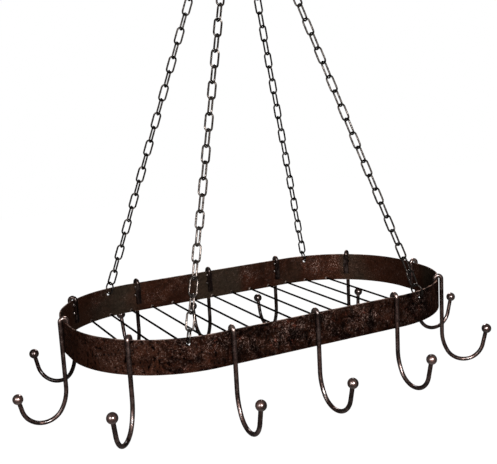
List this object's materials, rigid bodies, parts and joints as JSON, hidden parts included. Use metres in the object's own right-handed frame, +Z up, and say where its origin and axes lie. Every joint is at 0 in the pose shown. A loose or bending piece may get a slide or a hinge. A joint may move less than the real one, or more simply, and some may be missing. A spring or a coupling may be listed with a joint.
{
  "type": "hanging pot rack",
  "caption": "Oval-cornered hoop pot rack with a rod grid, hung on link chains from one ceiling hook, with twelve welded ball-tipped hooks.",
  "frame": {"origin": "ceiling surface, on the axis of the screw hook's shank", "axes": "+Z up along the shank, +X along the hoop's length, -Y towards the front"},
  "size_m": [0.9664, 0.6388, 1.1235],
  "materials": {
    "hoop_bronze": "mottled oil-rubbed bronze, satin",
    "hook_bronze": "satin dark bronze",
    "ball_bronze": "satin dark bronze, smoother than the hooks",
    "chain_bronze": "semi-gloss dark bronze with worn bright edges",
    "rod_black": "matt near black",
    "hanging_bronze": "satin dark bronze"
  },
  "bodies": {
    "ceiling_mount": {"ceiling_hook": "hanging_bronze"},
    "gathering_ring": {"gather_ring": "hanging_bronze"},
    "rack": {"hoop": "hoop_bronze", "grid_rod_1": "rod_black", "grid_rod_2": "rod_black", "grid_rod_3": "rod_black", "grid_rod_4": "rod_black", "grid_rod_5": "rod_black", "grid_rod_6": "rod_black", "grid_rod_7": "rod_black", "grid_rod_8": "rod_black", "grid_rod_9": "rod_black", "grid_rod_10": "rod_black", "grid_rod_11": "rod_black", "grid_rod_12": "rod_black", "grid_rod_13": "rod_black", "chain_front_left": "chain_bronze", "chain_front_right": "chain_bronze", "chain_back_left": "chain_bronze", "chain_back_right": "chain_bronze", "rim_ring_front_left": "chain_bronze", "rim_ring_front_right": "chain_bronze", "rim_ring_back_left": "chain_bronze", "rim_ring_back_right": "chain_bronze", "hook_front_mid": "hook_bronze", "hook_front_right": "hook_bronze", "hook_corner_front_right": "hook_bronze", "hook_end_right": "hook_bronze", "hook_corner_back_right": "hook_bronze", "hook_back_right": "hook_bronze", "hook_back_mid": "hook_bronze", "hook_back_left": "hook_bronze", "hook_corner_back_left": "hook_bronze", "hook_end_left": "hook_bronze", "hook_corner_front_left": "hook_bronze", "hook_front_left": "hook_bronze", "ball_front_mid": "ball_bronze", "ball_front_right": "ball_bronze", "ball_corner_front_right": "ball_bronze", "ball_end_right": "ball_bronze", "ball_corner_back_right": "ball_bronze", "ball_back_right": "ball_bronze", "ball_back_mid": "ball_bronze", "ball_back_left": "ball_bronze", "ball_corner_back_left": "ball_bronze", "ball_end_left": "ball_bronze", "ball_corner_front_left": "ball_bronze", "ball_front_left": "ball_bronze"}
  },
  "joints": [
    {"name": "ring_swing", "type": "hinge", "parent": "ceiling_mount", "child": "gathering_ring", "pos_m": [0, 0, -0.0415], "axis": [1, 0, 0], "range_deg": [-12, 12]},
    {"name": "rack_swing", "type": "hinge", "parent": "gathering_ring", "child": "rack", "pos_m": [0, 0, -0.0838], "axis": [0, 1, 0], "range_deg": [-12, 12]}
  ]
}
